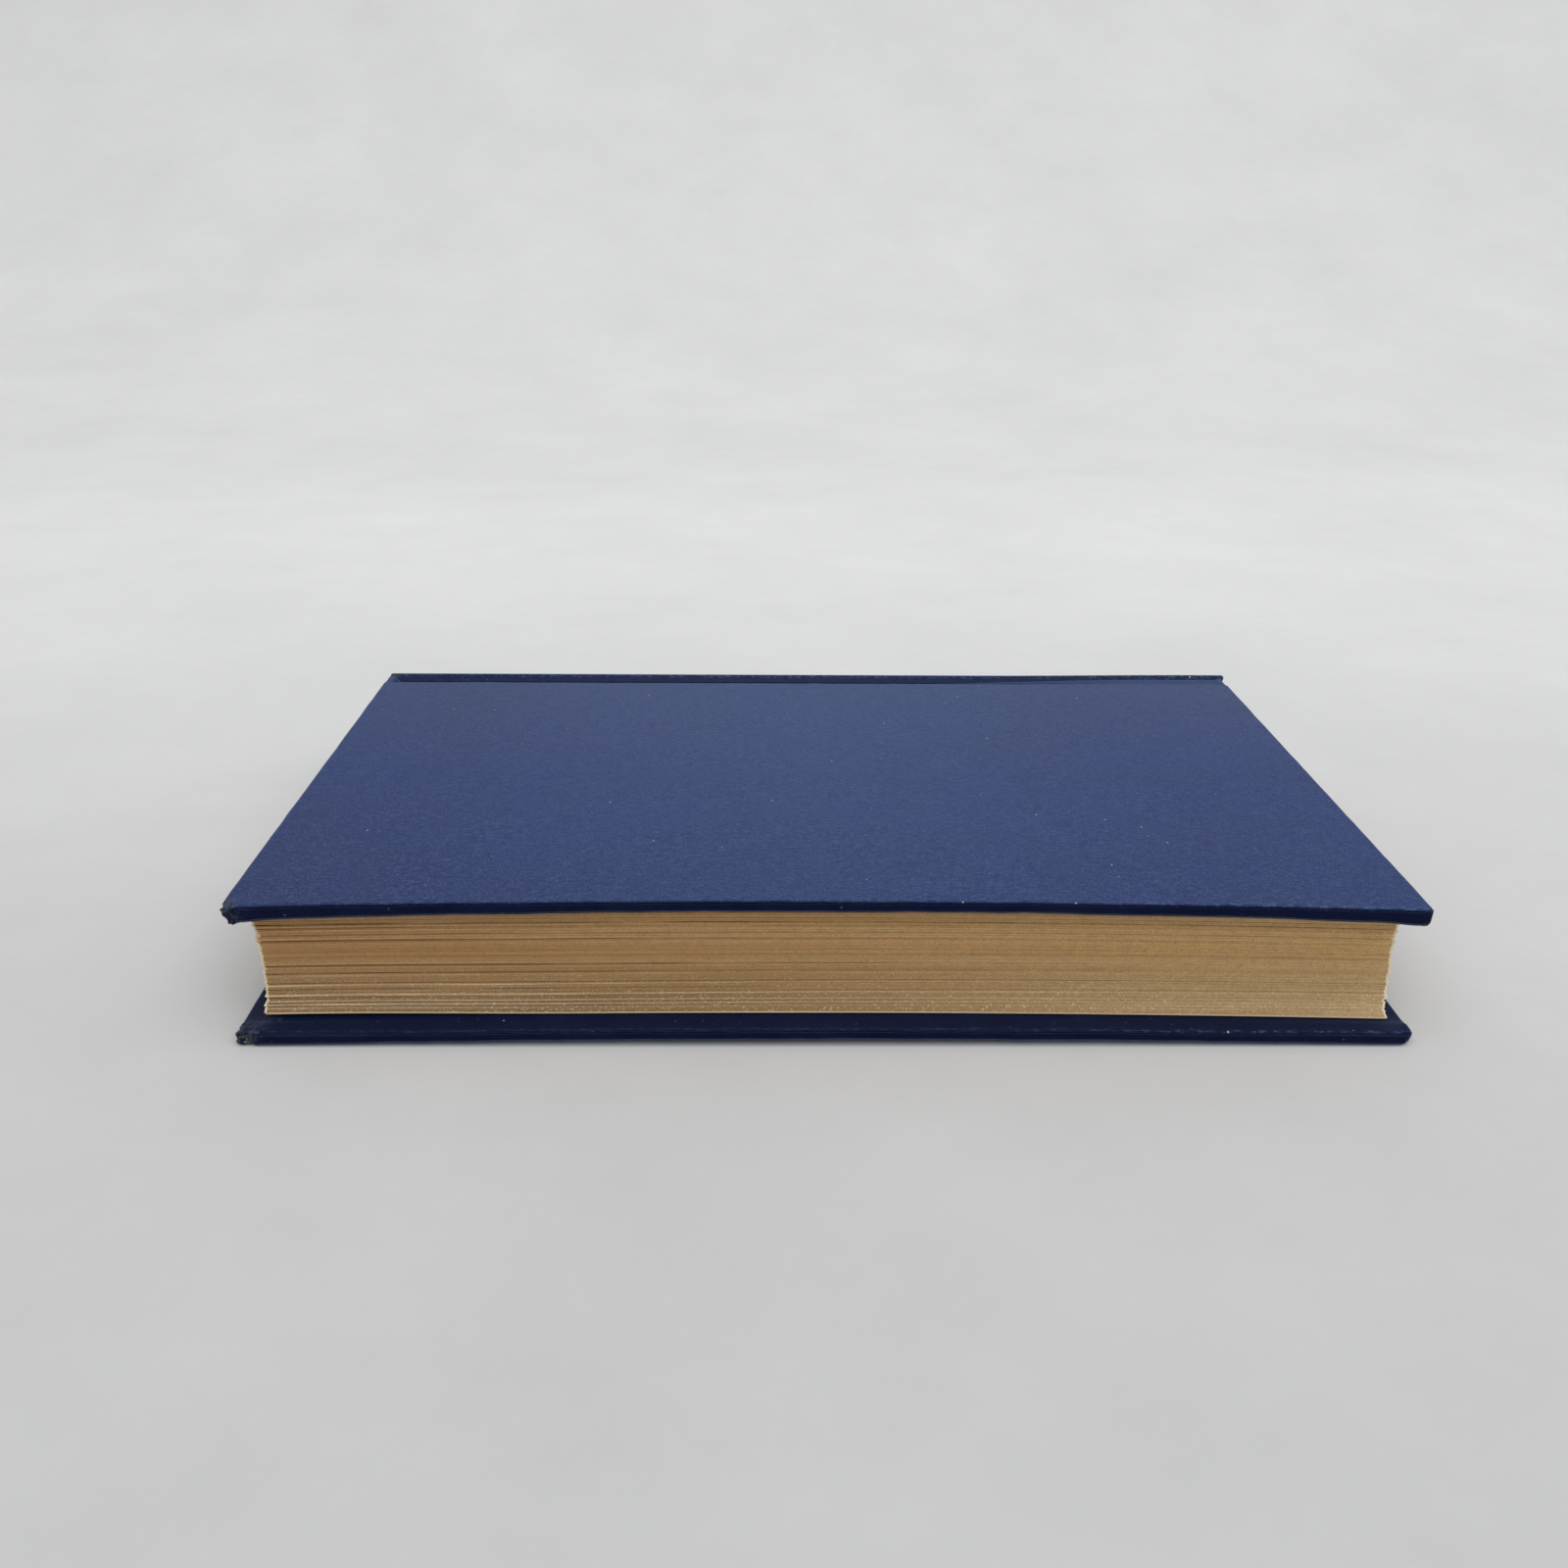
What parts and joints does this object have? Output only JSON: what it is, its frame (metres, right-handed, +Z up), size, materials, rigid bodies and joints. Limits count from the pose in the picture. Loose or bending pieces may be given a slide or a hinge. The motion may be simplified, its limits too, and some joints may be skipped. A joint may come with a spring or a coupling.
{
  "type": "hardback book",
  "caption": "Worn navy cloth-bound hardback book lying closed on its back cover, with browned pages, a rounded spine and covers that open.",
  "frame": {"origin": "under the middle of the closed book, on the surface that it lies on", "axes": "+X along the spine from tail to head, -Y out of the fore edge, +Z up through the front cover"},
  "size_m": [0.216, 0.1498, 0.028],
  "materials": {
    "book_cloth": "matt navy book cloth",
    "grey_board": "raw grey board",
    "page_paper": "browned page edges",
    "end_paper": "browned endpaper",
    "gauze": "open gauze",
    "lining_paper": "brown lining paper",
    "card": "thin card",
    "band_cloth": "plain corded cloth"
  },
  "bodies": {
    "text_block": {"page_block": "page_paper", "front_flyleaf": "end_paper", "back_flyleaf": "end_paper", "mull": "gauze", "spine_lining": "lining_paper", "head_band": "band_cloth", "tail_band": "band_cloth", "spine_inlay": "card", "spine_cloth": "book_cloth"},
    "front_cover": {"front_board": "grey_board", "front_cover_cloth": "book_cloth", "front_pastedown": "end_paper"},
    "back_cover": {"back_board": "grey_board", "back_cover_cloth": "book_cloth", "back_pastedown": "end_paper"}
  },
  "joints": [
    {"name": "front_cover_hinge", "type": "hinge", "parent": "text_block", "child": "front_cover", "pos_m": [0, 0.06647, 0.0281], "axis": [-1, 0, 0], "range_deg": [0, 185]},
    {"name": "back_cover_hinge", "type": "hinge", "parent": "text_block", "child": "back_cover", "pos_m": [0, 0.06647, -0.0001], "axis": [1, 0, 0], "range_deg": [0, 185]}
  ]
}
